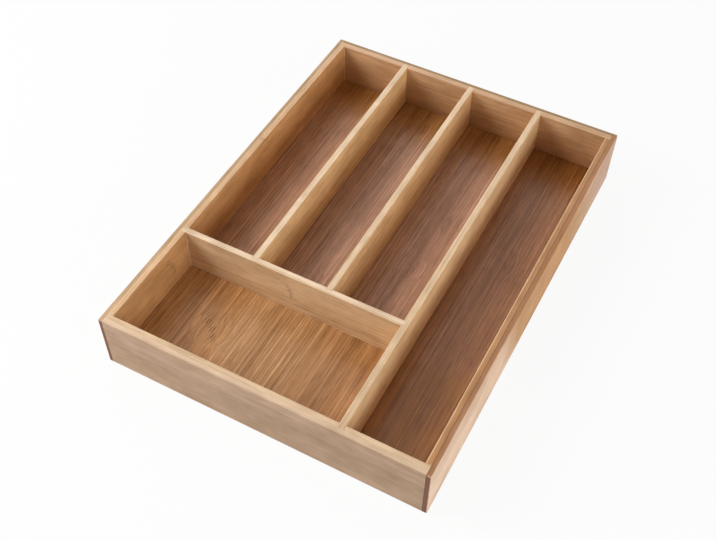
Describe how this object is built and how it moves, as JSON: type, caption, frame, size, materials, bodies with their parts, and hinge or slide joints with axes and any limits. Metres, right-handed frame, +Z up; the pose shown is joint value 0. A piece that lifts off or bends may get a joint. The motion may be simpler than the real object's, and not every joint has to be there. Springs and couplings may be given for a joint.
{
  "type": "cutlery box",
  "caption": "Shallow open bamboo cutlery tray with straight dividers: narrow columns side by side, one of them full length, and a wide compartment across the front.",
  "frame": {"origin": "under the middle of the box, on the surface it stands on", "axes": "+X to the right, towards the full-length compartment; +Y along the columns, from the wide front compartment to the back; +Z up"},
  "size_m": [0.26, 0.356, 0.05],
  "materials": {
    "wall_outer_bamboo": "sanded bamboo with a satin clear coat",
    "wall_inner_bamboo": "sanded bamboo with a satin clear coat",
    "floor_bamboo": "darker carbonised bamboo with a satin clear coat",
    "divider_bamboo": "sanded bamboo with a satin clear coat"
  },
  "bodies": {
    "root": {"front_outer_ply": "wall_outer_bamboo", "front_inner_ply": "wall_inner_bamboo", "back_outer_ply": "wall_outer_bamboo", "back_inner_ply": "wall_inner_bamboo", "left_outer_ply": "wall_outer_bamboo", "left_inner_ply": "wall_inner_bamboo", "right_outer_ply": "wall_outer_bamboo", "right_inner_ply": "wall_inner_bamboo", "floor_panel": "floor_bamboo", "left_divider": "divider_bamboo", "middle_divider": "divider_bamboo", "long_divider": "divider_bamboo", "cross_divider": "divider_bamboo"}
  },
  "joints": []
}
